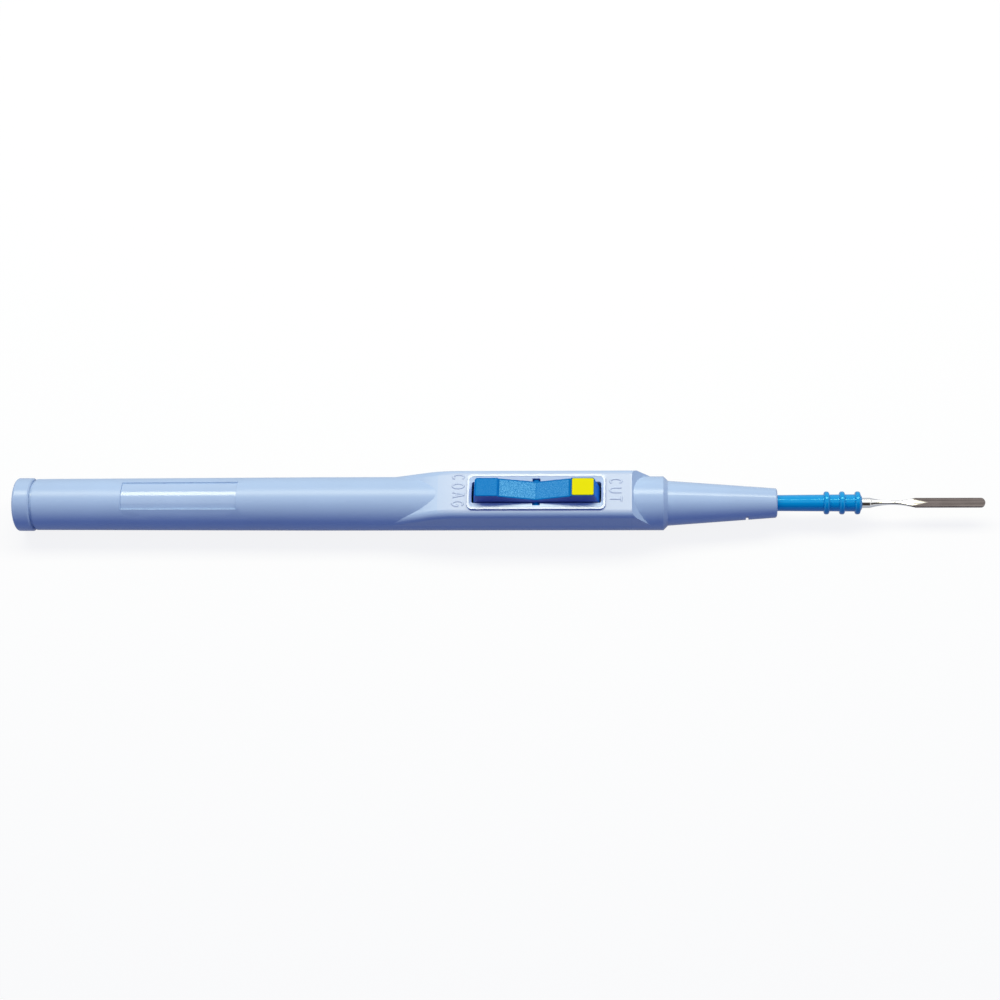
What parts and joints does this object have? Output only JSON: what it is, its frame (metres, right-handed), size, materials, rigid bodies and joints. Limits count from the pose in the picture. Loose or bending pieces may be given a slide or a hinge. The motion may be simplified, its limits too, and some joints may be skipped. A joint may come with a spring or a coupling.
{
  "type": "electrosurgical pencil",
  "caption": "Round hand switch pencil with a raised rocker panel, tapered nose and a plug-in blade electrode with a ribbed sleeve.",
  "frame": {"origin": "centre of the cable inlet, in the rear face of the end cap, on the handle's axis", "axes": "+X along the handle from the rear face to the blade tip, +Z out of the switch panel, away from the land it rests on"},
  "size_m": [0.2041, 0.0112, 0.0143],
  "materials": {
    "handle_plastic": "satin",
    "rocker_plastic": "fine texture",
    "cut_plastic": "satin",
    "sleeve_plastic": "gloss",
    "blade_steel": "ground",
    "dome_steel": "stamped",
    "contact_brass": "turned",
    "board_laminate": "lacquered"
  },
  "bodies": {
    "handle": {"handle_body": "handle_plastic", "end_cap": "handle_plastic", "nose_cone": "handle_plastic", "switch_board": "board_laminate", "cut_dome": "dome_steel", "coag_dome": "dome_steel", "electrode_socket": "contact_brass", "active_link": "contact_brass", "cable_terminal_active": "contact_brass", "cable_terminal_cut": "contact_brass", "cable_terminal_coag": "contact_brass"},
    "rocker_switch": {"rocker": "rocker_plastic", "cut_pad": "cut_plastic"},
    "electrode": {"electrode_sleeve": "sleeve_plastic", "electrode_blade": "blade_steel"}
  },
  "joints": [
    {"name": "rocker_tilt", "type": "hinge", "parent": "handle", "child": "rocker_switch", "pos_m": [0.11135, 0, 0.00495], "axis": [0, 1, 0], "range_deg": [-2.4, 2.4], "stiffness_Nm_per_rad": 0.5, "deforming": ["cut_dome", "coag_dome"]},
    {"name": "electrode_pull", "type": "slide", "parent": "handle", "child": "electrode", "axis": [1, 0, 0], "range_m": [0, 0.026]}
  ]
}
